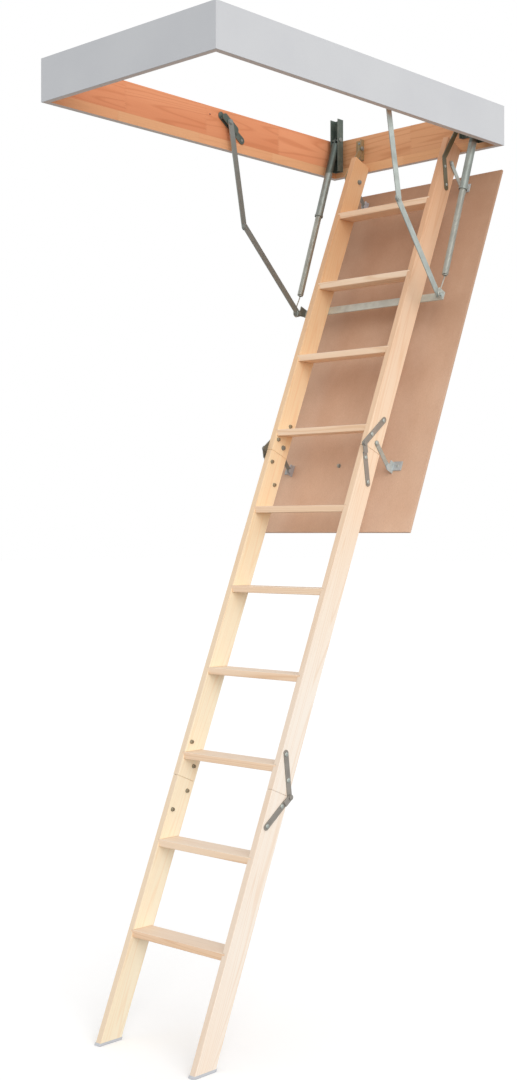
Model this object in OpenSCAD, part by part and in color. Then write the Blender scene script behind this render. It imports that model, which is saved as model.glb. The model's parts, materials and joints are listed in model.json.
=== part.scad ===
// Folding attic ladder: a wooden casing for the ceiling opening, a three-section wooden ladder that swings
// down from a hinge at one end of the casing, a thin hatch panel carried behind the ladder on four parallel
// links, knee arms that limit the swing, and two sleeved springs that balance the weight.
// Frame: origin at the centre of the casing's lower face, +Z up, +X across the casing, +Y towards the hinge
// end. The ladder is modelled deployed. On the ladder, s is the distance down the slope from the ceiling
// plane and d is the depth behind the front edges of the stiles.

/* [Casing] */
// Outer length of the casing
casing_l = 1300; // [1280:1:1340]
// Outer width of the casing
casing_w = 700; // [690:1:740]
// Height of the casing boards
casing_h = 125; // [118:1:150]
// Thickness of the casing boards
board_t = 18; // [16:1:20]
// Thickness of the pale outer facing
facing_t = 2; // [1:0.5:3]

/* [Ladder] */
// Slope of the deployed ladder in degrees
slope = 67.2; // [66.8:0.1:67.5]
// Drop from the casing's lower face to the floor
room_h = 2673; // [2600:1:2760]
// Outer width of the ladder
ladder_w = 398; // [390:1:400]
// Thickness of a stile
stile_t = 20; // [18:1:22]
// Depth of a stile
stile_d = 75; // [72:1:76]
// Slope distance from the ceiling plane to the first rung
first_rung = 173; // [171:1:176]
// Slope distance between rungs
rung_pitch = 265.7; // [265.2:0.1:267]
// Depth of a rung
rung_d = 76; // [68:1:77]
// Thickness of a rung
rung_t = 20; // [18:1:22]
// Slope distance to the upper fold
fold1_s = 1044; // [1035:1:1052]
// Slope distance to the lower fold
fold2_s = 2108; // [2098:1:2116]
// Height of the plastic foot caps
cap_h = 8; // [6:1:15]

/* [Hatch panel] */
// Length of the hatch panel
panel_l = 1254; // [1200:1:1256]
// Width of the hatch panel
panel_w = 655; // [600:1:656]
// Thickness of the hatch panel
panel_t = 8; // [6:1:8]
// Depth of the panel's attic side behind the stile fronts
panel_d = 145; // [143:1:146]

/* [Hardware] */
// Thickness of the flat steel straps
strap_t = 3; // [2.5:0.1:3]
// Width of the fold straps
strap_w = 18; // [14:1:20]
// Width of the knee arms
arm_w = 22; // [18:1:22]
// Outer radius of the spring sleeves
sleeve_r = 12.5; // [11.5:0.1:12.8]
// Radius of the pivot pins
pin_r = 4; // [3.5:0.1:4.2]

/* [Hidden] */
$fn = 48;

// Colours
pine = [0.84, 0.56, 0.40];
spruce = [0.94, 0.82, 0.68];
facing_grey = [0.80, 0.81, 0.83];
hardboard = [0.70, 0.54, 0.44];
zinc = [0.72, 0.75, 0.74];
dark_steel = [0.30, 0.34, 0.32];
cap_grey = [0.78, 0.82, 0.88];

// Casing
wall = board_t + facing_t;
in_x = casing_w / 2 - wall;
in_y = casing_l / 2 - wall;
fix_r = 3;                    // the joist screw's hole in a side board
fix_yz = [14, 98];

// Ladder placing
foot_s = room_h / sin(slope); // where the stiles' front plane meets the floor
lean_y = 543;                 // where the stiles' front plane meets the ceiling plane
stile_top = -42;              // the stiles rise past the ceiling plane, into the casing
stile_x = ladder_w / 2;
joint_gap = 0.5;              // between the butted ends of two sections
housing = 8;                  // how far a rung is let into a stile
sole_t = 3;                   // plastic under a stile's end
cap_wall = 1.5;

// Pivots, as [s, d] on the ladder or [y, z] on the casing
fold1 = [fold1_s, -8];
fold2 = [fold2_s, stile_d + 2];
hinge_pivot = [612, 78];
hinge_sd = [-(hinge_pivot[0] - lean_y) * cos(slope) - hinge_pivot[1] * sin(slope),
            (hinge_pivot[0] - lean_y) * sin(slope) - hinge_pivot[1] * cos(slope)];
arm_pivot = [90, 85];
knee = [153, -240];
arm_foot = [519.4, 46.9];
spring_pivot = [595, 120];
link_a1 = [30, 46];
link_a2 = [1018, 46];
link_run = 44;                // from a link's ladder pivot to its panel pivot, along s
link_reach = 79;              // and along d

// Planes across the width
hole_gap = 0.06;              // running clearance round a pin
seam = 0.04;                  // a bar's straight part is this much narrower than its round ends
face_gap = 0.5;               // between two straps that pass each other
strap_x = stile_x;
outer_strap_x = stile_x + strap_t + face_gap;
foot_x = outer_strap_x;       // the panel foot's ear, outside the link
ear_x = outer_strap_x;        // the casing hinge's ear, outside the hinge strap
lug_x = 280.8;                // the crossbar's end lug
low_arm_x = 287;              // middle of the lower arm at the crossbar
knee_x = 309;                 // middle of the lower arm at the knee
up_arm_x = 311.6;
up_arm_t = strap_t + 0.2;
bracket_ear_x = 315.4;
spring_x = 296;
channel_w = 34;
channel_y = [582, 610];
channel_z0 = 12;
channel_top = [190, 140];     // left and right
channel_t = 2.5;

// Fasteners
bolt_r = 3;
bolt_head_r = 6.5;
bolt_head_h = 2.6;
washer_r = 6.5;
washer_t = 1.5;
nut_r = 5.6;
nut_h = 5;
link_washer_r = 8;
link_nut_r = 7;
screw_l = 16;
screw_head_r = 4.5;
screw_head_h = 2;
pin_head_r = 7.5;
pin_head_h = 2.5;

// Bolt places as [s, d]
fold1_up = [[1003, 15], [941, 50]];
fold1_low = [[1080, 15], [1144, 53]];
fold2_up = [[2066, 52], [2001, 16]];
fold2_low = [[2141, 54], [2208, 17]];
strap_corner = [33, 5];
strap_end = [116, 52];
hinge_screws = [[58, 19], [108, 47.5]];
strap_tail = 4;               // from the last bolt to the centre of a fold strap's round end
crank_in = 25;                // a lower fold strap's crank, as distances from its pivot
crank_out = 29;

// Casing hardware
hinge_plate_z = [42, 112];
hinge_plate_w = 32;
hinge_ear_r = 13;
hinge_screw_z = [52, 78, 102];
hinge_screw_x = 20;
wing_z = 24;
wing_gap = 1.5;               // between the wing and the hinge-end board
wing_screw_z = [40, 74, 108];
arm_strap = [[62, 103.5], [156, 41.3]];
arm_bracket_w = 24;
arm_ear = [10, 66];           // the raised ear's ends along the strap
web_h = 18;
web_from = [-6, 3];

// Crossbar
bar_s = [492, 518];
bar_t = 4;
bar_screw_l = 30;
lug_t = 3.5;
lug_r = 10;
lug_inset = 1;                // the web's corners lie this far inside the lug's outline
arm_pin_end = 299;

// Links and panel feet
link_w = 16;
link_gap = 0.5;               // between a link and the stile
foot_half = 15;
foot_ear_r = 12;
foot_up = 12;                 // a foot's base sits this far up the slope from its pivot
foot_pin_out = 2;
top_foot_reach = 16;
low_foot_reach = 34;
panel_top = 13;
eye_s = 1041;
eye_x = -15;
eye_r = 3;
eye_ring_r = 9;
eye_wire_r = 2;

// Springs
arm_foot_yz = at(arm_foot[0], arm_foot[1]);
spring_len = norm(arm_foot_yz - spring_pivot);
spring_tilt = atan2(arm_foot_yz[0] - spring_pivot[0], spring_pivot[1] - arm_foot_yz[1]);
sleeve_l = 292;
sleeve_top = 16;
collar_h = 7;
collar_lip = 1.5;
tab_t = 6;
tab_r = 9;
plug_h = 4;
sleeve_wall = 1.2;
coil_r = 10.4;
coil_bore_r = 7.6;
coil_top = 70;
coil_end = 588;
coil_plug_h = 6;              // closes the coil's end, where the wire turns in to the loop
weld = 0.5;                   // how far a joined piece reaches into its neighbour
wire_r = 1.7;
ring_r = 12.2;                // mean radius of the end loop
ring_back = 2.8;              // the loop's centre lies this far short of the pin
ring_side = 2.8;

// Point on the ladder, [s, d], as [y, z]
function at(s, d) = [lean_y - s * cos(slope) + d * sin(slope), -s * sin(slope) - d * cos(slope)];
// Point on the ladder, [s, d], in the leaned frame's own [y, z]
function on(p) = [p[1], -p[0]];
// Point at distance l from p towards q
function toward(p, q, l) = p + (q - p) * l / norm(q - p);

// ---- helpers ----
module lean() { translate([0, lean_y, 0]) rotate([slope - 90, 0, 0]) children(); }
// Puts a right-hand part on the side that dir names: 1 is right, -1 is left
module side(dir) { mirror([dir < 0 ? 1 : 0, 0, 0]) children(); }
module both() { for (dir = [-1, 1]) side(dir) children(); }
// Outline in the YZ plane, from x outwards by t
module plate(x, t) { translate([x, 0, 0]) rotate([90, 0, 90]) linear_extrude(t) children(); }
// Straight part of a bar from p, l long in the direction of q
module run(p, q, l, w) {
    rotate_to(p, q) translate([0, -(w - seam) / 2]) square([l, w - seam]);
}
module rotate_to(p, q) { translate(p) rotate(atan2(q[1] - p[1], q[0] - p[0])) children(); }
// Round-ended bar through a list of points
module bar(points, w) {
    for (p = points) translate(p) circle(d = w);
    for (i = [1:len(points) - 1]) run(points[i - 1], points[i], norm(points[i] - points[i - 1]), w);
}
module dots(points, r) { for (p = points) translate(p) circle(r); }
// Cylinder along X from x0 to x1, centred on p in YZ
module rod(p, x0, x1, r) { translate([x0, p[0], p[1]]) rotate([0, 90, 0]) cylinder(r = r, h = x1 - x0); }
// Pivot pin with a head at each end
module pin(p, x0, x1) {
    rod(p, x0, x1, pin_r);
    rod(p, x0 - pin_head_h, x0, pin_head_r);
    rod(p, x1, x1 + pin_head_h, pin_head_r);
}
// Carriage bolt through a strap and a stile, its nut on the stile's inner face
module bolt(p, strap) {
    head_x = stile_x + strap;
    nut_x = stile_x - stile_t;
    rod(p, nut_x - washer_t - nut_h, head_x, bolt_r);
    rod(p, head_x, head_x + bolt_head_h, bolt_head_r);
    rod(p, nut_x - washer_t, nut_x, washer_r);
    translate([nut_x - washer_t - nut_h, p[0], p[1]]) rotate([0, 90, 0])
        cylinder(r = nut_r, h = nut_h, $fn = 6);
}
module bolts(points) { lean() both() for (p = points) bolt(on(p), strap_t); }

// ---- casing ----
module side_board(dir) {
    color(pine) side(dir) difference() {
        translate([in_x, -casing_l / 2 + facing_t, 0])
            cube([board_t, casing_l - 2 * facing_t, casing_h]);
        rod(fix_yz, in_x - 1, in_x + board_t + 1, fix_r);
    }
}
module end_board(dir) {
    y = dir > 0 ? in_y : -in_y - board_t;
    color(pine) translate([-in_x, y, 0]) cube([2 * in_x, board_t, casing_h]);
}
module side_facings() {
    color(facing_grey) both()
        translate([casing_w / 2 - facing_t, -casing_l / 2, 0]) cube([facing_t, casing_l, casing_h]);
}
module end_facings() {
    w = casing_w - 2 * facing_t;
    color(facing_grey) for (y = [-casing_l / 2, casing_l / 2 - facing_t])
        translate([-w / 2, y, 0]) cube([w, facing_t, casing_h]);
}

// Angle plate on the hinge-end board, with the ear that carries the ladder
module top_hinge(dir) {
    color(dark_steel) side(dir) {
        translate([ear_x, in_y - strap_t, hinge_plate_z[0]])
            cube([hinge_plate_w, strap_t, hinge_plate_z[1] - hinge_plate_z[0]]);
        plate(ear_x, strap_t) difference() {
            union() {
                translate(hinge_pivot) circle(hinge_ear_r);
                translate([hinge_pivot[0], hinge_plate_z[0]])
                    square([in_y - hinge_pivot[0], hinge_plate_z[1] - hinge_plate_z[0]]);
            }
            translate(hinge_pivot) circle(pin_r);
        }
    }
}
// Upright channel that holds the top of a spring, with a wing bent back along the side board
module spring_bracket(dir) {
    x0 = spring_x - channel_w / 2;
    x1 = spring_x + channel_w / 2;
    h = channel_top[dir < 0 ? 0 : 1] - channel_z0;
    color(dark_steel) side(dir) difference() {
        union() {
            for (x = [x0, x1 - channel_t])
                translate([x, channel_y[0], channel_z0]) cube([channel_t, channel_y[1] - channel_y[0], h]);
            translate([x0, channel_y[1] - channel_t, channel_z0]) cube([channel_w, channel_t, h]);
            translate([x0, channel_y[1] - channel_t, wing_z])
                cube([in_x - x0, channel_t, casing_h - wing_z]);
            translate([in_x - channel_t, channel_y[1] - channel_t, wing_z])
                cube([channel_t, in_y - wing_gap - channel_y[1] + channel_t, casing_h - wing_z]);
        }
        rod(spring_pivot, x0 - 1, x1 + 1, pin_r);
    }
}
// Cranked bracket for the upper arm: a strap on the board and a raised ear
module arm_bracket(dir) {
    ear_a = toward(arm_strap[0], arm_strap[1], arm_ear[0]);
    ear_b = toward(arm_strap[0], arm_strap[1], arm_ear[1]);
    color(dark_steel) side(dir) {
        plate(in_x - strap_t, strap_t) bar(arm_strap, arm_bracket_w);
        plate(bracket_ear_x, strap_t) difference() {
            bar([ear_a, ear_b], arm_bracket_w);
            translate(arm_pivot) circle(pin_r);
        }
        for (web = [[ear_a, web_from[0]], [ear_b, web_from[1]]])
            plate(bracket_ear_x + 1, in_x - bracket_ear_x - 2)
                rotate_to(web[0], web[0] + arm_strap[1] - arm_strap[0])
                    translate([web[1], -web_h / 2]) square([strap_t, web_h]);
    }
}
module casing_pins() {
    color(zinc) both() {
        rod(hinge_pivot, strap_x - strap_t, ear_x + strap_t, pin_r);
        rod(hinge_pivot, strap_x - strap_t - pin_head_h, strap_x - face_gap, pin_head_r);
        rod(hinge_pivot, ear_x + strap_t, ear_x + strap_t + pin_head_h, pin_head_r);
        pin(spring_pivot, spring_x - channel_w / 2, spring_x + channel_w / 2);
        rod(arm_pivot, up_arm_x - face_gap, bracket_ear_x + strap_t, pin_r);
        rod(arm_pivot, up_arm_x - face_gap - pin_head_h, up_arm_x - face_gap, pin_head_r);
        rod(arm_pivot, bracket_ear_x + strap_t, bracket_ear_x + strap_t + pin_head_h, pin_head_r);
    }
}
module casing_screws() {
    color(zinc) both() {
        for (z = hinge_screw_z) translate([ear_x + hinge_screw_x, in_y - strap_t, z]) rotate([90, 0, 0])
            cylinder(r = screw_head_r, h = screw_head_h);
        for (z = wing_screw_z) rod([(channel_y[1] + in_y) / 2, z],
            in_x - channel_t - screw_head_h, in_x - channel_t, screw_head_r);
        rod(arm_strap[1], in_x - strap_t - screw_head_h, in_x - strap_t, screw_head_r);
    }
}

// ---- wooden ladder sections ----
// Length of stile between two slope distances, square-cut, in place
module stile_blank(s0, s1) {
    lean() translate([stile_x - stile_t, 0, -s1]) cube([stile_t, stile_d, s1 - s0]);
}
module stile_holes(points, r = bolt_r, depth = stile_t + 1) {
    lean() for (p = points) rod(on(p), stile_x - depth, stile_x + 1, r);
}
module rung(n) {
    c = at(first_rung + (n - 1) * rung_pitch, stile_d / 2);
    length = 2 * (stile_x - stile_t + housing);
    color(spruce) translate([-length / 2, c[0] - rung_d / 2, c[1] - rung_t / 2])
        cube([length, rung_d, rung_t]);
}
module upper_stile(dir) {
    color(spruce) side(dir) difference() {
        stile_blank(stile_top, fold1_s - joint_gap / 2);
        for (n = [1:4]) rung(n);
        stile_holes(fold1_up);
        stile_holes(hinge_screws, bolt_r, screw_l);
        stile_holes([link_a1, link_a2], pin_r);
        lean() bar_hole(1, bar_screw_l);
    }
}
module middle_stile(dir) {
    color(spruce) side(dir) difference() {
        stile_blank(fold1_s + joint_gap / 2, fold2_s - joint_gap / 2);
        for (n = [5:8]) rung(n);
        stile_holes(concat(fold1_low, fold2_up));
    }
}
// The foot is cut level
module level_slab(z0, z1) {
    translate([0, -casing_l, z0]) cube([casing_w, 2 * casing_l, z1 - z0]);
}
module lower_stile(dir) {
    color(spruce) side(dir) difference() {
        stile_blank(fold2_s + joint_gap / 2, foot_s + stile_d);
        level_slab(-room_h - 2 * stile_d, -room_h + sole_t);
        for (n = [9:10]) rung(n);
        stile_holes(fold2_low);
    }
}
module foot_cap(dir) {
    color(cap_grey) side(dir) difference() {
        intersection() {
            lean() translate([stile_x - stile_t - cap_wall, -cap_wall, -foot_s - stile_d])
                cube([stile_t + 2 * cap_wall, stile_d + 2 * cap_wall, 3 * stile_d]);
            level_slab(-room_h, -room_h + cap_h);
        }
        difference() {
            stile_blank(fold2_s, foot_s + stile_d);
            level_slab(-room_h - 2 * stile_d, -room_h + sole_t);
        }
    }
}

// ---- ladder hardware ----
// Bent strap from the casing hinge to the stile
module hinge_strap(dir) {
    color(dark_steel) side(dir) lean() plate(strap_x, strap_t) difference() {
        bar([on(hinge_sd), on(strap_corner), on(strap_end)], strap_w);
        translate(on(hinge_sd)) circle(pin_r + hole_gap);
        for (p = hinge_screws) translate(on(p)) circle(bolt_r);
    }
}
// Plain fold strap on the upper of two sections, lying on the stiles
module upper_fold_strap(pivot, points) {
    far = toward(pivot, points[1], norm(points[1] - pivot) + strap_tail);
    plate(strap_x, strap_t) difference() {
        bar([on(pivot), on(far)], strap_w);
        for (p = points) translate(on(p)) circle(bolt_r);
    }
    rod(on(pivot), strap_x, outer_strap_x + strap_t + face_gap, pin_r);
    rod(on(pivot), outer_strap_x + strap_t + face_gap, outer_strap_x + strap_t + pin_head_h, pin_head_r);
}
// Cranked fold strap on the lower section: its eye passes outside the other strap
module lower_fold_strap(pivot, points) {
    far = toward(pivot, points[1], norm(points[1] - pivot) + strap_tail);
    p0 = toward(pivot, far, crank_in);
    difference() {
        union() {
            plate(outer_strap_x, strap_t) {
                translate(on(pivot)) circle(d = strap_w);
                run(on(pivot), on(far), crank_out, strap_w);
            }
            plate(strap_x, strap_t + face_gap + strap_t) run(on(p0), on(far), crank_out - crank_in, strap_w);
            plate(strap_x, strap_t) {
                translate(on(far)) circle(d = strap_w);
                run(on(p0), on(far), norm(far - p0), strap_w);
            }
        }
        rod(on(pivot), strap_x - 1, outer_strap_x + strap_t + 1, pin_r + hole_gap);
        for (p = points) rod(on(p), strap_x - 1, outer_strap_x + strap_t + 1, bolt_r);
    }
}
module fold1_upper_straps() { color(zinc) lean() both() upper_fold_strap(fold1, fold1_up); }
module fold1_lower_straps() { color(zinc) lean() both() lower_fold_strap(fold1, fold1_low); }
module fold2_upper_straps() { color(zinc) lean() both() upper_fold_strap(fold2, fold2_up); }
module fold2_lower_straps() { color(zinc) lean() both() lower_fold_strap(fold2, fold2_low); }

module strap_screw(p) {
    head_x = stile_x + strap_t;
    rod(p, stile_x - screw_l, head_x, bolt_r);
    rod(p, head_x, head_x + screw_head_h, screw_head_r);
}
module upper_bolts() {
    color(zinc) {
        bolts(fold1_up);
        lean() both() {
            for (p = hinge_screws) strap_screw(on(p));
            bar_screw();
        }
    }
}
module middle_bolts() { color(zinc) bolts(concat(fold1_low, fold2_up)); }
module lower_bolts() { color(zinc) bolts(fold2_low); }
module link_bolt(p) {
    nut_x = stile_x - stile_t;
    head_x = outer_strap_x + strap_t;
    rod(p, nut_x - washer_t - nut_h, head_x, pin_r);
    rod(p, head_x - pin_head_h, head_x, pin_head_r);
    rod(p, nut_x - washer_t, nut_x, link_washer_r);
    rod(p, nut_x - washer_t - nut_h, nut_x - washer_t, link_nut_r);
}

// A hole or shank square into the back of a stile, from d0 past its back face to depth inside it
module bar_hole(d0, depth = 1) {
    translate([stile_x - stile_t / 2, stile_d - depth, -(bar_s[0] + bar_s[1]) / 2]) rotate([-90, 0, 0])
        cylinder(r = bolt_r, h = d0 + depth);
}
module bar_screw() {
    bar_hole(bar_t, bar_screw_l);
    translate([stile_x - stile_t / 2, stile_d + bar_t, -(bar_s[0] + bar_s[1]) / 2]) rotate([-90, 0, 0])
        cylinder(r = bolt_head_r, h = bolt_head_h);
}
// Flat bar across the backs of the stiles, its ends turned forward into lugs
module crossbar() {
    end_x = lug_x + lug_t;
    bar_h = bar_s[1] - bar_s[0];
    inner_d = stile_d + bar_t / 2;
    color(zinc) lean() {
        difference() {
            translate([-end_x, stile_d, -bar_s[1]]) cube([2 * end_x, bar_t, bar_h]);
            both() bar_hole(bar_t + 1);
        }
        both() difference() {
            plate(lug_x, lug_t) {
                translate([arm_foot[1], -bar_s[1]]) square([inner_d - arm_foot[1], bar_h]);
                translate(on(arm_foot)) circle(lug_r);
                polygon([on([arm_foot[0] + lug_r - lug_inset, arm_foot[1]]),
                         on([bar_s[1] - lug_inset, inner_d]), on([bar_s[1] - lug_inset, arm_foot[1]])]);
            }
            rod(on(arm_foot), lug_x - 1, lug_x + lug_t + 1, pin_r);
        }
    }
}
// The arms' pins at the crossbar, and the links' shouldered bolts through the stiles
module upper_pins() {
    color(zinc) lean() both() {
        pin(on(arm_foot), lug_x, arm_pin_end);
        link_bolt(on(link_a1));
        link_bolt(on(link_a2));
    }
}

// ---- hatch panel and its parallel links ----
function link_b(a) = a + [link_run, link_reach];
module panel_link(dir, a) {
    b = link_b(a);
    color(zinc) side(dir) lean() plate(stile_x + link_gap, strap_t - link_gap) difference() {
        bar([on(a), on(b)], link_w);
        dots([on(a), on(b)], pin_r + hole_gap);
    }
}
// Angle foot on the panel: a base and an ear for the link, with its pin
module panel_foot(a, reach) {
    b = link_b(a);
    plate(foot_x, strap_t) difference() {
        union() {
            translate(on(b)) circle(foot_ear_r);
            translate([b[1], -b[0] - foot_ear_r]) square([panel_d - b[1], foot_up + 2 * foot_ear_r]);
        }
        translate(on(b)) circle(pin_r);
    }
    translate([foot_x, panel_d - strap_t, -b[0] + foot_up - foot_half]) cube([reach, strap_t, 2 * foot_half]);
    rod(on(b), strap_x - foot_pin_out, foot_x + strap_t, pin_r);
    rod(on(b), strap_x - foot_pin_out, strap_x, pin_head_r);
}
module panel_feet_top() { color(zinc) lean() both() panel_foot(link_a1, top_foot_reach); }
module panel_feet_low() { color(zinc) lean() both() panel_foot(link_a2, low_foot_reach); }
module hatch_panel() {
    color(hardboard) lean() difference() {
        translate([-panel_w / 2, panel_d, -panel_top - panel_l]) cube([panel_w, panel_t, panel_l]);
        translate([eye_x, panel_d - 1, -eye_s]) rotate([-90, 0, 0]) cylinder(r = eye_r, h = panel_t + 2);
    }
}
module panel_screws() {
    head_d = panel_d - strap_t - screw_head_h;
    color(zinc) lean() both() for (foot = [[link_a1, top_foot_reach], [link_a2, low_foot_reach]])
        translate([foot_x + (foot[1] + strap_t) / 2, head_d, foot_up - link_b(foot[0])[0]])
            rotate([-90, 0, 0]) cylinder(r = screw_head_r, h = screw_head_h);
}
// Eye bolt that the pull pole hooks into, its nut on the attic side
module pull_eye() {
    ring_d = panel_d + panel_t + washer_t + eye_ring_r + eye_r;
    back = nut_h + washer_t;
    color(zinc) lean() translate([eye_x, 0, -eye_s]) {
        translate([0, panel_d - back, 0]) rotate([-90, 0, 0])
            cylinder(r = eye_r, h = back + panel_t + washer_t + eye_r);
        for (d = [panel_d - washer_t, panel_d + panel_t]) translate([0, d, 0]) rotate([-90, 0, 0])
            cylinder(r = washer_r, h = washer_t);
        translate([0, panel_d - back, 0]) rotate([-90, 0, 0]) cylinder(r = nut_r, h = nut_h, $fn = 6);
        translate([0, ring_d, 0]) rotate([0, 90, 0]) rotate_extrude()
            translate([eye_ring_r, 0]) circle(eye_wire_r);
    }
}

// ---- knee arms ----
module upper_arm(dir) {
    color(zinc) side(dir) {
        plate(up_arm_x, up_arm_t) difference() {
            bar([arm_pivot, knee], arm_w);
            translate(arm_pivot) circle(pin_r + hole_gap);
        }
        rod(knee, up_arm_x + strap_t, up_arm_x + strap_t + pin_head_h, pin_head_r);
    }
}
// The lower arm leans out from the crossbar to the knee
module lower_arm(dir) {
    run = arm_foot_yz - knee;
    length = norm([run[0], run[1], knee_x - low_arm_x]);
    turn = atan2(run[0], -run[1]);
    splay = asin((knee_x - low_arm_x) / length);
    color(zinc) side(dir) difference() {
        union() {
            translate([knee_x, knee[0], knee[1]]) rotate([turn, 0, 0]) rotate([0, splay, 0])
                plate(-strap_t / 2, strap_t) bar([[0, 0], [0, -length]], arm_w);
            rod(knee, knee_x - strap_t / 2 - pin_head_h, knee_x, pin_head_r);
        }
        rod(arm_foot_yz, low_arm_x - 2 * strap_t, low_arm_x + 2 * strap_t, pin_r + hole_gap);
    }
}

// ---- springs ----
module along_spring(dir) {
    side(dir) translate([spring_x, spring_pivot[0], spring_pivot[1]]) rotate([spring_tilt, 0, 0]) children();
}
module tube(z0, z1, r, bore) {
    translate([0, 0, z0]) difference() {
        cylinder(r = r, h = z1 - z0);
        translate([0, 0, -1]) cylinder(r = bore, h = z1 - z0 + 2);
    }
}
module spring_sleeve(dir) {
    color(zinc) along_spring(dir) {
        difference() {
            union() {
                rod([0, 0], -tab_t / 2, tab_t / 2, tab_r);
                translate([-tab_t / 2, -tab_r, -sleeve_top - 1]) cube([tab_t, 2 * tab_r, sleeve_top + 1]);
            }
            rod([0, 0], -tab_t, tab_t, pin_r + hole_gap);
        }
        translate([0, 0, -sleeve_top - plug_h]) cylinder(r = sleeve_r, h = plug_h);
        tube(-sleeve_l, -sleeve_top - plug_h, sleeve_r, sleeve_r - sleeve_wall);
        tube(-sleeve_l, -sleeve_l + collar_h, sleeve_r + collar_lip, sleeve_r - sleeve_wall);
    }
}
module spring_coil(dir) {
    ring_at = spring_len - ring_back;
    color(zinc) along_spring(dir) {
        tube(-coil_end, -coil_top, coil_r, coil_bore_r);
        translate([0, 0, -coil_end]) cylinder(r = coil_bore_r + weld, h = coil_plug_h);
        translate([0, 0, -ring_at + ring_r])
            cylinder(r = wire_r, h = ring_at - ring_r - coil_end + coil_plug_h / 2);
        translate([0, ring_side, -ring_at]) rotate([0, 90, 0]) rotate_extrude()
            translate([ring_r, 0]) circle(wire_r);
    }
}

side_board(-1);  // side_board_left
side_board(1);  // side_board_right
end_board(1);  // hinge_end_board
end_board(-1);  // free_end_board
side_facings();
end_facings();
top_hinge(-1);  // top_hinge_left
top_hinge(1);  // top_hinge_right
spring_bracket(-1);  // spring_bracket_left
spring_bracket(1);  // spring_bracket_right
arm_bracket(-1);  // arm_bracket_left
arm_bracket(1);  // arm_bracket_right
casing_pins();
casing_screws();
upper_stile(-1);  // upper_stile_left
upper_stile(1);  // upper_stile_right
rung(1);  // rung_1
rung(2);  // rung_2
rung(3);  // rung_3
rung(4);  // rung_4
hinge_strap(-1);  // hinge_strap_left
hinge_strap(1);  // hinge_strap_right
crossbar();
upper_pins();
fold1_upper_straps();
upper_bolts();
panel_link(-1, link_a1);  // link_top_left
panel_link(1, link_a1);  // link_top_right
panel_link(-1, link_a2);  // link_low_left
panel_link(1, link_a2);  // link_low_right
hatch_panel();
panel_feet_top();
panel_feet_low();
panel_screws();
pull_eye();
middle_stile(-1);  // middle_stile_left
middle_stile(1);  // middle_stile_right
rung(5);  // rung_5
rung(6);  // rung_6
rung(7);  // rung_7
rung(8);  // rung_8
fold1_lower_straps();
fold2_upper_straps();
middle_bolts();
lower_stile(-1);  // lower_stile_left
lower_stile(1);  // lower_stile_right
rung(9);  // rung_9
rung(10);  // rung_10
fold2_lower_straps();
lower_bolts();
foot_cap(-1);  // foot_cap_left
foot_cap(1);  // foot_cap_right
upper_arm(-1);  // upper_arm_left
upper_arm(1);  // upper_arm_right
lower_arm(-1);  // lower_arm_left
lower_arm(1);  // lower_arm_right
spring_sleeve(-1);  // spring_sleeve_left
spring_sleeve(1);  // spring_sleeve_right
spring_coil(-1);  // spring_coil_left
spring_coil(1);  // spring_coil_right
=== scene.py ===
"""Looks for the folding attic ladder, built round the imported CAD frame.

Wood, sheet and strap nodes of the CAD model stay, and get bevels and procedural materials.
Bolts, pins, screws, spring wires and the pull eye are replaced by turned, coiled and bent meshes.
"""
import json
import math

import bmesh
import bpy
from mathutils import Matrix, Vector


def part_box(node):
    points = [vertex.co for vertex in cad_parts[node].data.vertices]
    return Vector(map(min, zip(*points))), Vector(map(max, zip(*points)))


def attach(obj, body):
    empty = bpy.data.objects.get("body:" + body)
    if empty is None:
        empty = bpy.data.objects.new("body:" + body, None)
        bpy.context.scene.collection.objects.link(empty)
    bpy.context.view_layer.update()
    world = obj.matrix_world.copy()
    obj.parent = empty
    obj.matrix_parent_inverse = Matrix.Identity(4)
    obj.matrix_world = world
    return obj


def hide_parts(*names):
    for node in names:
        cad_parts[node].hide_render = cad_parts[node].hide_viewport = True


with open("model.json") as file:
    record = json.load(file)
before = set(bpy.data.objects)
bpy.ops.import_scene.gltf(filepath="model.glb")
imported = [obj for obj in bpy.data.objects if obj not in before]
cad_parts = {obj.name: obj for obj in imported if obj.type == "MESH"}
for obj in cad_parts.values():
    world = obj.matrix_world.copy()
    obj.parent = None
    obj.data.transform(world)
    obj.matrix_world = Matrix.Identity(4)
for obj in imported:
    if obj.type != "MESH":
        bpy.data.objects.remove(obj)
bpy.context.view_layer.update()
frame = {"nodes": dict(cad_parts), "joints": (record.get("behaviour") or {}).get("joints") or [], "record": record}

NODES = frame["nodes"]
JOINTS = {joint["name"]: joint for joint in frame["joints"]}
BODY_OF = {
    node: body
    for body, nodes in frame["record"]["behaviour"]["bodies"].items()
    for node in nodes
}
MM = 0.001
WELD = 0.01 * MM  # corners closer than this are one corner
X, Y, Z = range(3)


# ---- the frame: pivots and the ladder's own directions ----

def pivot(joint):
    return Vector(JOINTS[joint]["pos_m"])


DOWN = (pivot("link_low_right_turn") - pivot("link_top_right_turn")).normalized()
DEEP = Vector((0, -DOWN.z, DOWN.y))  # square to the slope, from the climber's side to the panel
LADDER = Matrix(((1, 0, 0), DEEP, DOWN))  # row-frame vectors to across, deep and down the ladder
SLOPE_TURN = math.atan2(-DOWN.y, -DOWN.z)  # turns the slope upright about X
FLOOR_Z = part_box("foot_cap_left")[0].z


def on_ladder(across, deep, down):
    """A point given in the ladder's own directions, in the row frame."""
    return LADDER.transposed() @ Vector((across, deep, down))


def take_solid(start, left):
    """The vertices joined to start by edges, which are taken out of left."""
    stack, found = [start], []
    while stack:
        vert = stack.pop()
        found.append(vert)
        for edge in vert.link_edges:
            other = edge.other_vert(vert)
            if other in left:
                left.remove(other)
                stack.append(other)
    return found


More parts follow.
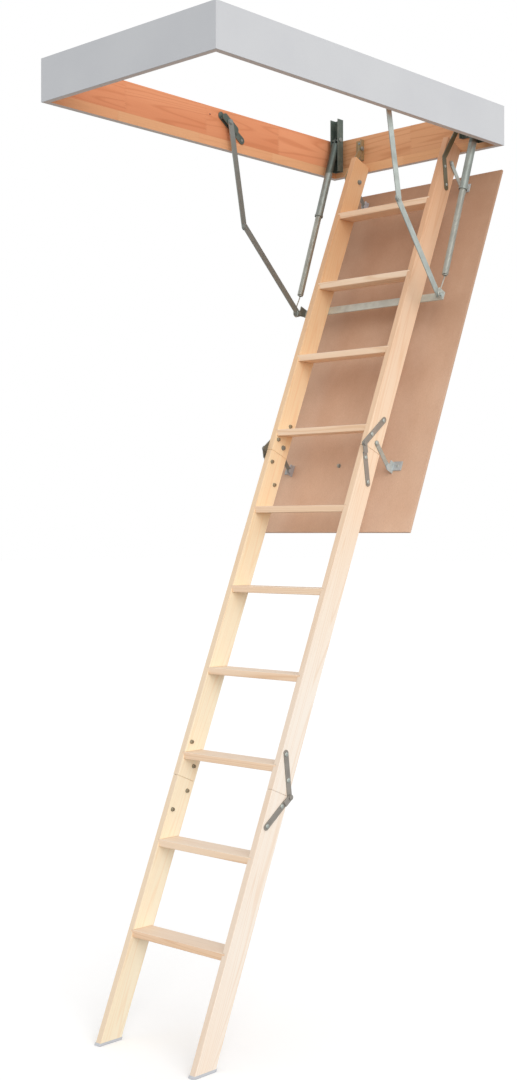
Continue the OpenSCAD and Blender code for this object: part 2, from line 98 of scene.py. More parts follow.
def islands(node, turn=Matrix.Identity(3)):
    """The boxes of a node's separate solids in a turned frame, as (low, high), in a fixed order."""
    mesh = bmesh.new()
    mesh.from_mesh(NODES[node].data)
    bmesh.ops.remove_doubles(mesh, verts=mesh.verts, dist=WELD)
    left, boxes = set(mesh.verts), []
    while left:
        corners = [turn @ vert.co for vert in take_solid(left.pop(), left)]
        low = Vector([min(corner[i] for corner in corners) for i in (X, Y, Z)])
        high = Vector([max(corner[i] for corner in corners) for i in (X, Y, Z)])
        boxes.append((low, high))
    mesh.free()
    return sorted(boxes, key=lambda box: tuple(round(c, 5) for c in box[0]))


# ---- camera, light and floor ----

CAMERA_AT = (3.0194, -3.3609, -1.2292)
CAMERA_AZIMUTH = 42.94  # degrees
CAMERA_PITCH = -0.24  # degrees
CAMERA_LENS = 50.0  # mm
CAMERA_SENSOR = 36.0  # mm
CAMERA_REACH = 100.0
WORLD_LIGHT = 0.86
KEY_FROM = (0.82, -0.47, 0.34)
KEY_ENERGY = 1.4
KEY_SPREAD = 50  # degrees
FLOOR_REACH = 60
FLOOR_GIVES = 0.42  # share of the light that the floor gives back
FLOOR_SEEN = 1.05  # its tone to the camera, just past white, so that no horizon shows


def make_camera():
    data = bpy.data.cameras.new("camera")
    data.lens = CAMERA_LENS
    data.sensor_width = CAMERA_SENSOR
    data.clip_end = CAMERA_REACH
    camera = bpy.data.objects.new("camera", data)
    camera.location = CAMERA_AT
    camera.rotation_euler = (math.radians(90 + CAMERA_PITCH), 0, math.radians(CAMERA_AZIMUTH))
    bpy.context.scene.collection.objects.link(camera)
    bpy.context.scene.camera = camera


def make_sun(name, towards, energy, angle):
    data = bpy.data.lights.new(name, "SUN")
    data.energy = energy
    data.angle = math.radians(angle)
    sun = bpy.data.objects.new(name, data)
    sun.rotation_euler = Vector(towards).to_track_quat("Z", "Y").to_euler()
    bpy.context.scene.collection.objects.link(sun)


def make_world(strength):
    """White where the camera looks past the object, dimmer as a light."""
    world = bpy.data.worlds.new("studio")
    bpy.context.scene.world = world
    world.use_nodes = True
    tree = world.node_tree
    background = tree.nodes["Background"]
    background.inputs["Color"].default_value = (1, 1, 1, 1)
    path = tree.nodes.new("ShaderNodeLightPath")
    level = tree.nodes.new("ShaderNodeMapRange")
    level.inputs["To Min"].default_value = strength
    level.inputs["To Max"].default_value = 1
    tree.links.new(path.outputs["Is Camera Ray"], level.inputs["Value"])
    tree.links.new(level.outputs["Result"], background.inputs["Strength"])


def floor_material():
    """White to the camera, darker in the light that it gives back."""
    material = bpy.data.materials.new("floor")
    material.use_nodes = True
    tree = material.node_tree
    shader = tree.nodes["Principled BSDF"]
    shader.inputs["Roughness"].default_value = 1
    shader.inputs["Specular IOR Level"].default_value = 0
    path = tree.nodes.new("ShaderNodeLightPath")
    tone = tree.nodes.new("ShaderNodeMix")
    tone.data_type = "RGBA"
    tone.inputs["A"].default_value = (FLOOR_GIVES, FLOOR_GIVES, FLOOR_GIVES, 1)
    tone.inputs["B"].default_value = (FLOOR_SEEN, FLOOR_SEEN, FLOOR_SEEN, 1)
    tree.links.new(path.outputs["Is Camera Ray"], tone.inputs["Factor"])
    tree.links.new(tone.outputs["Result"], shader.inputs["Base Color"])
    return material


def make_floor():
    """One wide flat face under the feet."""
    data = bpy.data.meshes.new("floor")
    signs = ((-1, -1), (1, -1), (1, 1), (-1, 1))
    corners = [(x * FLOOR_REACH, y * FLOOR_REACH, FLOOR_Z) for x, y in signs]
    data.from_pydata(corners, [], [(0, 1, 2, 3)])
    data.materials.append(floor_material())
    floor = bpy.data.objects.new("floor", data)
    bpy.context.scene.collection.objects.link(floor)


# ---- materials ----

def rgb(red, green, blue):
    """A screen colour, 0 to 255, as the linear colour that a shader takes."""
    parts = [c / 255 for c in (red, green, blue)]
    return tuple(c / 12.92 if c < 0.04045 else ((c + 0.055) / 1.055) ** 2.4 for c in parts) + (1,)


class Paint:
    """A Principled material with short names for the nodes that drive it."""

    def __init__(self, name, roughness=0.5, metallic=0.0, specular=0.5):
        self.material = bpy.data.materials.new(name)
        self.material.use_nodes = True
        self.tree = self.material.node_tree
        self.shader = self.tree.nodes["Principled BSDF"]
        self.shader.inputs["Roughness"].default_value = roughness
        self.shader.inputs["Metallic"].default_value = metallic
        self.shader.inputs["Specular IOR Level"].default_value = specular

    def node(self, kind, **inputs):
        made = self.tree.nodes.new("ShaderNode" + kind)
        for name, value in inputs.items():
            self.plug(made.inputs[name.replace("_", " ")], value)
        return made

    def plug(self, socket, value):
        if isinstance(value, bpy.types.NodeSocket):
            self.tree.links.new(value, socket)
        else:
            socket.default_value = value

    def place(self, turn=0.0):
        """Position in the row frame at rest, turned about X."""
        where = self.node("TexCoord").outputs["Object"]
        if not turn:
            return where
        mapping = self.node("Mapping", Vector=where, Rotation=(turn, 0, 0))
        return mapping.outputs["Vector"]

    def facing(self):
        """The surface's own direction, split into X, Y and Z."""
        return self.split(self.node("TexCoord").outputs["Normal"])

    def math(self, operation, a, b=0.0):
        made = self.tree.nodes.new("ShaderNodeMath")
        made.operation = operation
        self.plug(made.inputs[0], a)
        self.plug(made.inputs[1], b)
        return made.outputs[0]

    def vector(self, operation, a, b):
        made = self.tree.nodes.new("ShaderNodeVectorMath")
        made.operation = operation
        self.plug(made.inputs[0], a)
        self.plug(made.inputs[1], b)
        return made.outputs[0]

    def noise(self, where, per_metre, detail=2.0, roughness=0.5, distortion=0.0):
        """Noise with its own number of features per metre along each axis."""
        scaled = self.vector("MULTIPLY", where, per_metre)
        made = self.node("TexNoise", Vector=scaled, Scale=1.0, Detail=detail,
                         Roughness=roughness, Distortion=distortion)
        return made.outputs[0]

    def ramp(self, value, stops):
        """Colours from (position, colour) pairs."""
        made = self.node("ValToRGB", Fac=value)
        elements = made.color_ramp.elements
        while len(elements) < len(stops):
            elements.new(0.5)
        for element, (at, colour) in zip(elements, stops):
            element.position = at
            element.color = colour
        return made.outputs["Color"]

    def span(self, value, low, high, to_low=0.0, to_high=1.0):
        """Maps low to high onto another range, and stops at its ends."""
        made = self.node("MapRange", Value=value, From_Min=low, From_Max=high,
                         To_Min=to_low, To_Max=to_high)
        return made.outputs["Result"]

    def mix(self, factor, a, b, blend="MIX"):
        made = self.tree.nodes.new("ShaderNodeMix")
        made.data_type = "RGBA"
        made.blend_type = blend
        self.plug(made.inputs["Factor"], factor)
        self.plug(made.inputs["A"], a)
        self.plug(made.inputs["B"], b)
        return made.outputs["Result"]

    def stain(self, base, mask, share, colour):
        """Mixes a colour into base, by that share where the mask is 1."""
        return self.mix(self.math("MULTIPLY", mask, share), base, colour)

    def split(self, vector):
        return self.node("SeparateXYZ", Vector=vector).outputs

    def colour(self, value):
        self.plug(self.shader.inputs["Base Color"], value)

    def rough(self, value):
        self.plug(self.shader.inputs["Roughness"], value)

    def bump(self, height, distance, strength=1.0):
        made = self.node("Bump", Height=height, Distance=distance, Strength=strength)
        self.plug(self.shader.inputs["Normal"], made.outputs["Normal"])


def grain(paint, where, along, tones, ring_count=42.0, depth=0.25 * MM):
    """Softwood: slow tone changes, growth rings cut at a low angle, and fine fibres.

    along is the axis that the fibres run on: X, Y or Z. tones are light, mid and latewood.
    """
    def stretch(across, lengthwise):
        return tuple(lengthwise if axis == along else across for axis in (X, Y, Z))

    light, mid, late = tones
    patches = paint.noise(where, stretch(7, 0.9), detail=3)
    body = paint.mix(paint.span(patches, 0.32, 0.68), light, mid)
    heart = paint.noise(where, stretch(11, 0.55), detail=1.5, roughness=0.45, distortion=0.3)
    rings = paint.math("PINGPONG", paint.math("MULTIPLY", heart, ring_count), 1.0)
    line = paint.span(rings, 0.62, 0.97)
    body = paint.stain(body, line, 0.42, late)
    fibres = paint.noise(where, stretch(900, 9), detail=3, roughness=0.65)
    body = paint.mix(paint.span(fibres, 0.3, 0.75, 0.0, 0.22), body, late)
    paint.rough(paint.span(fibres, 0.3, 0.7, 0.44, 0.62))
    paint.bump(paint.math("ADD", paint.math("MULTIPLY", line, 0.5), fibres), depth)
    return body


WARM_FROM, WARM_TO = -1.75, -0.15  # heights between which the stiles warm
WARM_STOPS = (
    (0.0, (1, 1, 1, 1)),
    (0.5, (1.0, 0.885, 0.755, 1)),
    (1.0, (0.80, 0.56, 0.40, 1)),
)


def stile_spruce(name, tones):
    """Pale spruce that warms to orange towards the casing, its front faces greyed as painted shade."""
    paint = Paint(name, specular=0.35)
    wood = grain(paint, paint.place(SLOPE_TURN), Z, tones, depth=0.15 * MM)
    # painted shade: faces turned to the climber take a greyer tone
    shaded_front = paint.math("LESS_THAN", paint.facing()[Y], -0.5)
    wood = paint.stain(wood, shaded_front, 0.6, rgb(226, 200, 174))
    height = paint.span(paint.split(paint.place())[Z], WARM_FROM, WARM_TO)
    paint.colour(paint.mix(1.0, wood, paint.ramp(height, WARM_STOPS), "MULTIPLY"))
    return paint.material


def rung_spruce():
    """Warmer spruce, its treads greyed by shoes."""
    paint = Paint("rung_spruce", specular=0.35)
    tones = (rgb(255, 230, 202), rgb(250, 214, 180), rgb(226, 178, 132))
    wood = grain(paint, paint.place(), X, tones, depth=0.2 * MM)
    tread = paint.math("GREATER_THAN", paint.facing()[Z], 0.5)
    paint.colour(paint.stain(wood, tread, 0.45, rgb(214, 208, 198)))
    return paint.material


BLOCK_L = 0.34
LAMELLA_H = 30 * MM  # height of the lowest lamella
LAMELLA_SHIFT = 0.37  # how far its joints are staggered
LAMELLA_NUMBERS = 17.0  # keeps its block numbers apart from those above
TOOTH_W = 3 * MM
TOOTH_SLOPE = 3.2
BLOCK_OFFSET = (0.37, 0.21, 0.13)  # each block's grain starts this much further on


def finger_blocks(paint, run, height, strip):
    """A count along the board that passes a whole number at each zigzag finger joint."""
    teeth = paint.math("PINGPONG", height, TOOTH_W)
    zigzag = paint.math("MULTIPLY", teeth, TOOTH_SLOPE)
    staggered = paint.math("ADD", run, paint.math("MULTIPLY", strip, LAMELLA_SHIFT))
    return paint.math("MULTIPLY", paint.math("ADD", zigzag, staggered), 1 / BLOCK_L)


def block_shade(paint, number):
    """A value from 0 to 1 that is each block's own."""
    shade = paint.node("TexWhiteNoise")
    shade.noise_dimensions = "1D"
    paint.plug(shade.inputs["W"], number)
    return shade.outputs["Value"]


def glue_lines(paint, blocks, height):
    """Thin lines at the finger joints and along the top of the lowest lamella."""
    from_joint = paint.math("PINGPONG", blocks, 0.5)
    from_lamella = paint.math("ABSOLUTE", paint.math("SUBTRACT", height, LAMELLA_H))
    across = paint.span(from_joint, 0.0, 0.0022, 1.0, 0.0)
    lengthwise = paint.span(from_lamella, 0.0, 0.5 * MM, 1.0, 0.0)
    return paint.math("MAXIMUM", across, lengthwise)


def finger_pine(name, along, tones):
    """Bare pine glued from blocks, its lowest lamella painted paler as painted light along the board's lower edge,
    and its underside nearly grey.
    """
    paint = Paint(name, specular=0.3)
    where = paint.place()
    parts = paint.split(where)
    strip = paint.math("LESS_THAN", parts[Z], LAMELLA_H)
    blocks = finger_blocks(paint, parts[along], parts[Z], strip)
    own_numbers = paint.math("MULTIPLY", strip, LAMELLA_NUMBERS)
    number = paint.math("ADD", paint.math("FLOOR", blocks), own_numbers)
    own = paint.vector("ADD", where, paint.vector("MULTIPLY", number, BLOCK_OFFSET))
    wood = grain(paint, own, along, tones, ring_count=30)
    pale_share = paint.span(block_shade(paint, number), 0.55, 1.0, 0.0, 0.45)
    wood = paint.mix(pale_share, wood, rgb(240, 196, 150))
    # painted light: the lowest lamella is paler along the board's lower edge
    wood = paint.stain(wood, strip, 0.5, rgb(240, 190, 140))
    wood = paint.stain(wood, glue_lines(paint, blocks, parts[Z]), 0.28, rgb(150, 84, 50))
    under = paint.math("LESS_THAN", paint.facing()[Z], -0.5)
    paint.colour(paint.stain(wood, under, 0.8, rgb(218, 215, 212)))
    return paint.material


def laminate(name, light, dark):
    """Smooth grey facing with faint clouds and a fine pebbled surface."""
    paint = Paint(name, specular=0.4)
    where = paint.place()
    cloud = paint.noise(where, (5, 5, 5), detail=3)
    speck = paint.noise(where, (800, 800, 800), detail=2)
    paint.colour(paint.mix(paint.span(cloud, 0.3, 0.7), light, dark))
    paint.rough(paint.span(speck, 0.3, 0.7, 0.42, 0.56))
    paint.bump(speck, 0.05 * MM, 0.5)
    return paint.material


def fibre_board():
    """Brown hardboard: felted fibres and faint mottling, darker towards the casing as painted shade under it."""
    paint = Paint("hardboard", specular=0.25)
    where = paint.place(SLOPE_TURN)
    height = paint.split(paint.place())[Z]
    low, high = (corner.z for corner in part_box("hatch_panel"))
    mottle = paint.noise(where, (9, 9, 6), detail=4, roughness=0.6)
    fibres = paint.noise(where, (420, 420, 160), detail=4, roughness=0.75, distortion=0.8)
    # painted shade: the board darkens from the pale tones at its low end to the dark ones by the casing
    dark = paint.mix(paint.span(mottle, 0.3, 0.7), rgb(189, 149, 121), rgb(177, 136, 108))
    pale = paint.mix(paint.span(mottle, 0.3, 0.7), rgb(231, 196, 169), rgb(221, 183, 155))
    body = paint.mix(paint.span(height, low, high), pale, dark)
    body = paint.mix(paint.span(fibres, 0.35, 0.75, 0.0, 0.25), body, rgb(150, 108, 80))
    paint.colour(body)
    paint.rough(paint.span(fibres, 0.3, 0.7, 0.5, 0.7))
    paint.bump(fibres, 0.15 * MM)
    return paint.material


def worn_metal(paint, where, smooth, rough):
    """Scratches between two roughness values, and the cloudy patches that tint the plating."""
    scratch = paint.noise(where, (60, 60, 60), detail=4, roughness=0.7)
    paint.rough(paint.span(scratch, 0.3, 0.7, smooth, rough))
    paint.bump(scratch, 0.06 * MM, 0.6)
    return paint.noise(where, (26, 26, 26), detail=4, roughness=0.6)


def plated(name, outer, inner, roughness=0.42, metallic=0.6, facing=(-0.4, 0.4)):
    """Plated steel with painted shade: faces turned towards the middle take the darker inner tone, faces turned
    outwards the outer one.
    """
    paint = Paint(name, metallic=metallic)
    where = paint.place()
    side = paint.math("SIGN", paint.split(where)[X])
    # painted shade: faces turned towards the middle get the darker inner tone
    outer_lit_share = paint.span(paint.math("MULTIPLY", paint.facing()[X], side), *facing)
    cloud = worn_metal(paint, where, roughness - 0.1, roughness + 0.12)
    plate = paint.mix(outer_lit_share, inner, outer)
    paint.colour(paint.mix(paint.span(cloud, 0.35, 0.7, 0.0, 0.35), plate, rgb(120, 118, 108)))
    return paint.material


def sleeve_plate():
    """Plated tube, painted darker over its eye and down to the casing's lower face, as painted shade inside the
    casing.
    """
    paint = Paint("sleeve_plate", metallic=0.7)
    where = paint.place()
    cloud = paint.span(worn_metal(paint, where, 0.42, 0.62), 0.35, 0.7)
    tube = paint.mix(cloud, rgb(158, 164, 158), rgb(140, 144, 138))
    # painted shade: darker tone above the casing's lower face, where the tube runs inside the casing
    cap = paint.mix(cloud, rgb(84, 94, 90), rgb(106, 110, 102))
    paint.colour(paint.mix(paint.span(paint.split(where)[Z], -3 * MM, 3 * MM), tube, cap))
    return paint.material


def lacquered(name, tone, roughness=0.36):
    """Dark stoved lacquer with orange peel and rubbed patches."""
    paint = Paint(name, metallic=0.3)
    where = paint.place()
    peel = paint.noise(where, (500, 500, 500), detail=2)
    rub = paint.noise(where, (38, 38, 38), detail=5, roughness=0.65)
    paint.colour(paint.mix(paint.span(rub, 0.5, 0.72, 0.0, 0.5), tone, rgb(128, 132, 122)))
    paint.rough(paint.span(rub, 0.35, 0.7, roughness, roughness + 0.16))
    paint.bump(peel, 0.08 * MM, 0.6)
    return paint.material


def moulded(name, tone):
    """Moulded plastic with fine pits and scuffs."""
    paint = Paint(name, specular=0.4)
    where = paint.place()
    pits = paint.noise(where, (650, 650, 650), detail=2)
    scuff = paint.noise(where, (45, 45, 18), detail=4, roughness=0.7)
    paint.colour(paint.mix(paint.span(scuff, 0.5, 0.75, 0.0, 0.3), tone, rgb(160, 164, 168)))
    paint.rough(paint.span(pits, 0.3, 0.7, 0.46, 0.6))
    paint.bump(pits, 0.1 * MM, 0.5)
    return paint.material


# ---- CAD nodes that stay ----

FLAT_ANGLE = math.radians(1)  # faces that meet flatter than this are one face
SHARP_ANGLE = math.radians(35)  # edges sharper than this are rounded


def dress(names, material, edge, segments=3, edge_material=None):
    """Gives CAD nodes their material, and rounds their edges by a bevel of that width."""
    for name in names:
        obj = NODES[name]
        obj.material_slots[0].material = material
        if edge_material:
            obj.data.materials.append(edge_material)
        weld = obj.modifiers.new("weld", "WELD")
        weld.merge_threshold = WELD
        flatten = obj.modifiers.new("flatten", "DECIMATE")
        flatten.decimate_type = "DISSOLVE"
        flatten.angle_limit = FLAT_ANGLE
        bevel = obj.modifiers.new("bevel", "BEVEL")
        bevel.width = edge
        bevel.segments = segments
        bevel.limit_method = "ANGLE"
        bevel.angle_limit = SHARP_ANGLE
        bevel.use_clamp_overlap = False
        if edge_material:
            bevel.material = 1
        normals = obj.modifiers.new("normals", "WEIGHTED_NORMAL")
        normals.weight = 100


def both_sides(*stems):
    return [f"{stem}_{side}" for stem in stems for side in ("left", "right")]


# ---- turned, coiled and bent pieces ----

def axis_frame(at, direction):
    """A matrix that puts local Z along direction, with its origin at that point."""
    return Matrix.Translation(at) @ Vector(direction).to_track_quat("Z", "Y").to_matrix().to_4x4()


def ring_of(mesh, matrix, radius, height, around):
    """A ring of vertices about local Z, in metres."""
    turns = [math.tau * i / around for i in range(around)]
    return [mesh.verts.new(matrix @ Vector((radius * math.cos(a), radius * math.sin(a), height)))
            for a in turns]


def join_rings(mesh, first, second):
    """A band of faces between two rings, smooth unless they are hexagons."""
    count = len(first)
    for i in range(count):
        j = (i + 1) % count
        face = mesh.faces.new((first[i], first[j], second[j], second[i]))
        face.smooth = count > 6


def closed_tube(mesh, rings):
    for first, second in zip(rings, rings[1:]):
        join_rings(mesh, first, second)
    mesh.faces.new(list(reversed(rings[0])))
    mesh.faces.new(rings[-1])


def turned(mesh, matrix, profile, around=32):
    """A closed solid turned about local Z, from (radius, height) pairs in millimetres."""
    rings = [ring_of(mesh, matrix, radius * MM, height * MM, around) for radius, height in profile]
    closed_tube(mesh, rings)


def wire(mesh, points, radius, around=10):
    """A round wire through points that keeps its section square to the path."""
    points = [Vector(point) for point in points]
    tangents = [(points[min(i + 1, len(points) - 1)] - points[max(i - 1, 0)]).normalized()
                for i in range(len(points))]
    turns = [math.tau * i / around for i in range(around)]
    normal = tangents[0].orthogonal().normalized()
    rings = []
    for point, tangent in zip(points, tangents):
        normal = (normal - tangent * normal.dot(tangent)).normalized()
        other = tangent.cross(normal)
        rings.append([mesh.verts.new(point + (normal * math.cos(a) + other * math.sin(a)) * radius)
                      for a in turns])
    closed_tube(mesh, rings)


def dome(radius, height, low):
    """Profile of a domed head that stands on the plane at low."""
    steps = (0.0, 0.25, 0.5, 0.72, 0.88, 0.97)
    rim_h = 0.25 * height
    curve = [(radius * math.sqrt(1 - step * step), low + rim_h + (height - rim_h) * step)
             for step in steps]
    return [(radius - 0.2, low)] + curve


def disc(radius, low, high, chamfer=0.3):
    """Profile of a disc with both its rims chamfered."""
    inner = radius - chamfer
    return [(inner, low), (radius, low + chamfer), (radius, high - chamfer), (inner, high)]


NUT_FACE = 0.86  # radius of a nut's round faces over that of its corners
NUT_PROUD = 0.12  # how far those faces stand out
WASHER_H = 1.5


def hex_nut(mesh, matrix, radius, low, high):
    turned(mesh, matrix, disc(radius, low, high, 0.5), around=6)
    turned(mesh, matrix, disc(radius * NUT_FACE, low - NUT_PROUD, high + NUT_PROUD, 0.3))


def through_bolt(mesh, matrix, length, shank, head, head_h, nut, washer):
    """Nut and washer from the origin on, and a domed head that ends at length, in millimetres."""
    nut_h, stub = 5.0, 2.0
    turned(mesh, matrix, [(shank - 0.5, -stub), (shank, -stub + 0.5), (shank, length - head_h)], 20)
    hex_nut(mesh, matrix, nut, NUT_PROUD, nut_h - NUT_PROUD)
    turned(mesh, matrix, disc(washer, nut_h, nut_h + WASHER_H, 0.25))
    turned(mesh, matrix, dome(head, head_h, length - head_h))


def cross_head(mesh, at, direction, radius=4.5, height=2.0):
    """Domed screw head with a cross recess, standing on the plane at that point."""
    matrix = axis_frame(at, direction)
    around, steps = 48, 12
    slot_half, slot_reach = 0.5, 0.62 * radius
    sunk = Vector(direction) * (0.5 * height * MM)
    rings = [ring_of(mesh, matrix, radius * MM, 0, around)]
    for step in range(steps):
        rho = radius * (1 - step / steps)
        level = height * (0.3 + 0.7 * math.sqrt(max(0.0, 1 - (rho / radius) ** 2)))
        rings.append(ring_of(mesh, matrix, rho * MM, level * MM, around))
        for i, vert in enumerate(rings[-1]):
            turn = math.tau * i / around
            aside = min(abs(rho * math.cos(turn)), abs(rho * math.sin(turn)))
            if aside < slot_half and rho < slot_reach:
                vert.co -= sunk
    for first, second in zip(rings, rings[1:]):
        join_rings(mesh, first, second)
    mesh.faces.new(rings[-1])


def pivot_pin(mesh, matrix, length, radius, shank=4.0, head_h=2.5):
    """Riveted pin from the origin on: a chamfered head at each end, with the peened tip standing out."""
    proud = 0.7
    turned(mesh, matrix, [(shank, 0.5), (shank, length - 0.5)], 24)
    turned(mesh, matrix, disc(radius, 0.0, head_h, 0.6))
    turned(mesh, matrix, [(shank + 0.5, -proud), (shank + 0.8, 0.2)], 24)
    turned(mesh, matrix, disc(radius, length - head_h, length, 0.6))
    turned(mesh, matrix, [(shank + 0.8, length - 0.2), (shank + 0.5, length + proud)], 24)


def new_piece(name, mesh, material, slot, *nodes):
    """Makes a mesh into a piece that stands for CAD nodes and moves with their body."""
    data = bpy.data.meshes.new(name)
    bmesh.ops.recalc_face_normals(mesh, faces=mesh.faces)
    mesh.to_mesh(data)
    mesh.free()
    data.materials.append(material)
    piece = bpy.data.objects.new(name, data)
    bpy.context.scene.collection.objects.link(piece)
    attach(piece, BODY_OF[nodes[0]])
    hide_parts(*nodes)
    return piece


def side_of(low, high):
    return 1 if low.x + high.x > 0 else -1


def crosswise(low, high):
    """Where a solid along X starts on its inner side: matrix, and length and radius in millimetres."""
    side = side_of(low, high)
    middle = (low + high) / 2
    inner = low.x if side > 0 else high.x
    matrix = axis_frame(on_ladder(inner, middle.y, middle.z), (side, 0, 0))
    return matrix, (high.x - low.x) / MM, (high.y - low.y) / 2 / MM


def make_bolts(node, material):
    """Carriage bolts through the stiles, and the screws of the hinge straps and the crossbar."""
    mesh = bmesh.new()
    head, head_h, screw = 6.5, 2.6, 4.5
    head_w = 2.1 * head * MM
    for low, high in islands(node, LADDER):
        matrix, length, radius = crosswise(low, high)
        middle = (low + high) / 2
        if high.x - low.x < head_w:  # only a head wide, so it runs from front to back
            spot = on_ladder(middle.x, high.y - head_h * MM, middle.z)
            turned(mesh, axis_frame(spot, DEEP), dome(head, head_h, 0))
        elif radius > head - 0.5:
            through_bolt(mesh, matrix, length, shank=3.0, head=head, head_h=head_h, nut=5.6, washer=6.5)
        else:
            spot = matrix @ Vector((0, 0, (length - 2) * MM))
            cross_head(mesh, spot, (side_of(low, high), 0, 0), screw)
    new_piece(node + "_detail", mesh, material, "zinc", node)


def make_pins(node, material):
    """Riveted pins, and the links' bolts, which reach inside the stiles."""
    mesh = bmesh.new()
    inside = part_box("upper_stile_right")[0].x
    for low, high in islands(node, LADDER):
        matrix, length, radius = crosswise(low, high)
        if min(abs(low.x), abs(high.x)) < inside:
            through_bolt(mesh, matrix, length, shank=4.0, head=7.5, head_h=2.5, nut=7.0, washer=8.0)
        else:
            pivot_pin(mesh, matrix, length, radius)
    new_piece(node + "_detail", mesh, material, "zinc", node)


def make_casing_screws(material):
    """Heads on the hinge plates, facing the climber, and on the side boards, facing the middle."""
    mesh = bmesh.new()
    for low, high in islands("casing_screws"):
        middle = (low + high) / 2
        side = side_of(low, high)
        if high.x - low.x < high.y - low.y:
            cross_head(mesh, (high.x if side > 0 else low.x, middle.y, middle.z), (-side, 0, 0))
        else:
            cross_head(mesh, (middle.x, high.y, middle.z), (0, -1, 0))
    new_piece("casing_screws_detail", mesh, material, "zinc", "casing_screws")


def make_panel_screws(material):
    mesh = bmesh.new()
    for low, high in islands("panel_screws", LADDER):
        middle = (low + high) / 2
        cross_head(mesh, on_ladder(middle.x, high.y, middle.z), -DEEP)
    new_piece("panel_screws_detail", mesh, material, "zinc", "panel_screws")


def make_pull_eye(material):
    """Eye bolt bent from rod, through the panel between two washers, its nut on the attic side."""
    low, high = islands("pull_eye", LADDER)[0]
    panel_low, panel_high = islands("hatch_panel", LADDER)[0]
    across, down = (low.x + high.x) / 2, (low.z + high.z) / 2
    rod, ring, spare = 2.4 * MM, 9.0 * MM, 2 * MM
    steps, bent = 31, 29  # the ring stays open by the steps that aren't bent
    centre = high.y - ring - spare
    path = [on_ladder(across, low.y - spare, down), on_ladder(across, centre - ring - spare, down)]
    for i in range(bent):
        turn = math.tau * i / steps
        path.append(on_ladder(across, centre - ring * math.cos(turn), down + ring * math.sin(turn)))
    mesh = bmesh.new()
    wire(mesh, path, rod, 14)
    matrix = axis_frame(on_ladder(across, low.y, down), DEEP)
    hex_nut(mesh, matrix, 5.6, 0.12, 4.9)
    for start in (panel_low.y - WASHER_H * MM, panel_high.y):
        offset = (start - low.y) / MM
        turned(mesh, matrix, disc(6.5, offset, offset + WASHER_H, 0.25))
    new_piece("pull_eye_detail", mesh, material, "zinc", "pull_eye")


WIRE_R = 1.9 * MM
COIL_R = 8.5 * MM
COIL_PITCH = 4.1 * MM
COIL_FROM, COIL_TO = 0.200, 0.584  # distances from the spring's upper pivot
COIL_TAPER = 5 * MM  # the last stretch, where the wire turns in to the middle
HOOK_R = 12.2 * MM
HOOK_LIFT = 2.8 * MM  # the hook's middle above the crossbar's pin


def coil_points(top, down, across, sideways):
    """The helix from inside the sleeve to where its wire turns in."""
    per_turn = 16
    points = []
    for i in range(int((COIL_TO - COIL_FROM + COIL_TAPER) / COIL_PITCH * per_turn)):
        length = COIL_FROM + COIL_PITCH * i / per_turn
        turn = math.tau * i / per_turn
        reach = COIL_R * min(1.0, max(0.0, (COIL_TO + COIL_TAPER - length) / COIL_TAPER))
        points.append(top + down * length + (across * math.cos(turn) + sideways * math.sin(turn)) * reach)
    return points


def hook_points(foot, down, sideways):
    """The open loop round the crossbar's pin."""
    steps, first, last = 32, 3, 29
    centre = foot - down * HOOK_LIFT
    points = []
    for i in range(first, last + 1):
        turn = math.tau * i / steps
        points.append(centre - down * (HOOK_R * math.cos(turn)) + sideways * (HOOK_R * math.sin(turn)))
    return points


def make_spring(side, material):
    """One wire: the coil, whose turns nearly touch, and its end hook."""
    node = f"spring_coil_{side}"
    low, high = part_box(node)
    x = (low.x + high.x) / 2
    top = Vector((x, *pivot(f"spring_{side}_turn").yz))
    foot = Vector((x, *pivot(f"lower_arm_{side}_turn").yz))
    down = (foot - top).normalized()
    across = Vector((1, 0, 0))
    sideways = down.cross(across)
    mesh = bmesh.new()
    wire(mesh, coil_points(top, down, across, sideways) + hook_points(foot, down, sideways), WIRE_R)
    new_piece(f"spring_wire_{side}", mesh, material, "spring_steel", node)


# ---- run ----

bpy.context.scene.view_settings.view_transform = "Standard"
make_camera()
make_world(WORLD_LIGHT)
make_sun("key", KEY_FROM, KEY_ENERGY, KEY_SPREAD)
make_floor()

orange_pine = (rgb(238, 164, 120), rgb(228, 147, 103), rgb(202, 118, 72))
tan_pine = (rgb(226, 172, 128), rgb(212, 152, 106), rgb(184, 118, 72))
cream_spruce = (rgb(255, 245, 220), rgb(255, 238, 207), rgb(249, 216, 176))
pale_spruce = (rgb(255, 247, 236), rgb(255, 237, 218), rgb(241, 210, 180))
# each plated finish takes its inner tone as painted shade on faces turned towards the middle
steel = plated("zinc_plate", rgb(204, 212, 206), rgb(146, 150, 146))
fold_steel = plated("fold_plate", rgb(178, 172, 164), rgb(120, 120, 112), roughness=0.45)
wire_steel = plated("wire_plate", rgb(206, 206, 196), rgb(198, 198, 188), roughness=0.36)
bolt_steel = plated("bolt_plate", rgb(204, 212, 206), rgb(158, 140, 112))
foot_steel = plated("foot_plate", rgb(196, 204, 202), rgb(182, 184, 190), roughness=0.5, metallic=0.15)
bar_steel = plated("bar_plate", rgb(210, 215, 206), rgb(112, 116, 112), roughness=0.5, metallic=0.3,
                   facing=(-0.9, -0.5))
dark = lacquered("dark_lacquer", rgb(86, 98, 90))
# olive and tan are one hinge finish: olive as painted shade, the lighter tan as painted light and painted wood
# reflection
shaded_olive = lacquered("olive_lacquer", rgb(112, 106, 82), roughness=0.3)
lit_tan_lacquer = lacquered("lit_tan_lacquer", rgb(158, 136, 98))
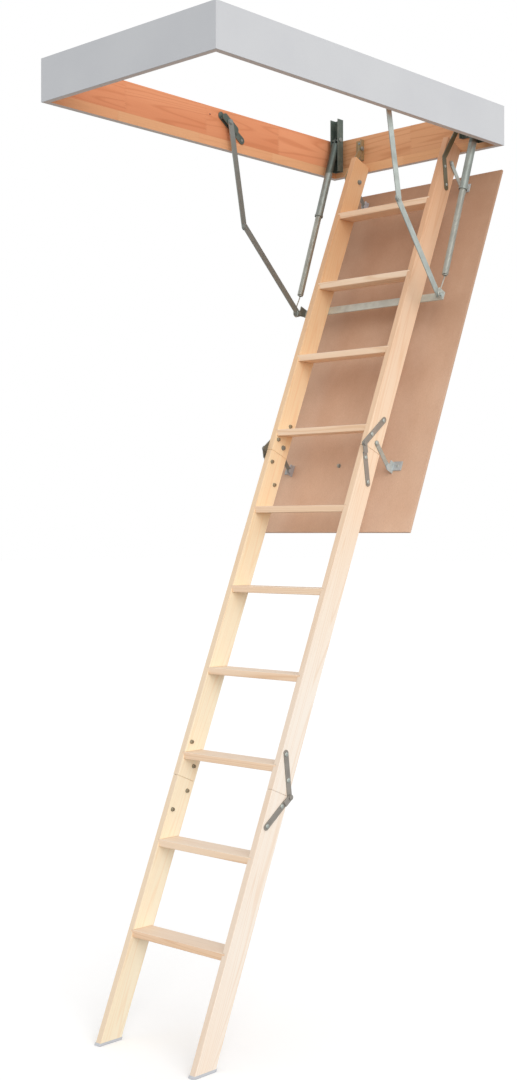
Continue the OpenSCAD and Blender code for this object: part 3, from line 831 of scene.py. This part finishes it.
bare_edge = plated("worn_edge", rgb(150, 152, 142), rgb(130, 132, 122))

dress(["side_board_left", "side_board_right"], finger_pine("pine_sides", Y, orange_pine), 0.8 * MM)
dress(["free_end_board"], finger_pine("pine_free_end", X, orange_pine), 0.8 * MM)
dress(["hinge_end_board"], finger_pine("pine_hinge_end", X, tan_pine), 0.8 * MM)
# The end facings take a darker grey than the side facings: painted shade on the ends.
dress(["side_facings"], laminate("side_facing", rgb(206, 207, 210), rgb(211, 212, 214)), 0.3 * MM, 2)
dress(["end_facings"], laminate("end_facing", rgb(196, 198, 202), rgb(201, 203, 206)), 0.3 * MM, 2)
for side, tones in (("left", cream_spruce), ("right", pale_spruce)):
    stiles = [f"{section}_stile_{side}" for section in ("upper", "middle", "lower")]
    dress(stiles, stile_spruce(f"spruce_{side}", tones), 1.5 * MM)
dress([f"rung_{n}" for n in range(1, 11)], rung_spruce(), 2 * MM)
dress(["hatch_panel"], fibre_board(), 0.6 * MM, 2)
dress(both_sides("spring_bracket", "arm_bracket") + ["top_hinge_right"], dark, 0.35 * MM, 2, bare_edge)
# olive on the right strap is painted shade, tan on the left hinge parts painted light, on one hinge finish
dress(["hinge_strap_right"], shaded_olive, 0.35 * MM, 2, bare_edge)
dress(["top_hinge_left", "hinge_strap_left"], lit_tan_lacquer, 0.35 * MM, 2, bare_edge)
dress([f"fold{n}_{part}_straps" for n in (1, 2) for part in ("upper", "lower")], fold_steel, 0.4 * MM, 2)
dress(both_sides("link_top", "link_low", "upper_arm", "lower_arm"), steel, 0.4 * MM, 2)
dress(both_sides("spring_sleeve"), sleeve_plate(), 0.4 * MM, 2)
dress(["crossbar"], bar_steel, 0.4 * MM, 2)
dress(["panel_feet_top", "panel_feet_low"], foot_steel, 0.4 * MM, 2)
for bolts in ("upper_bolts", "middle_bolts", "lower_bolts"):
    make_bolts(bolts, bolt_steel)
for pins in ("upper_pins", "casing_pins"):
    make_pins(pins, steel)
make_casing_screws(steel)
make_panel_screws(steel)
make_pull_eye(steel)
for side in ("left", "right"):
    make_spring(side, wire_steel)
dress(both_sides("foot_cap"), moulded("foot_plastic", rgb(204, 206, 210)), 1.0 * MM)
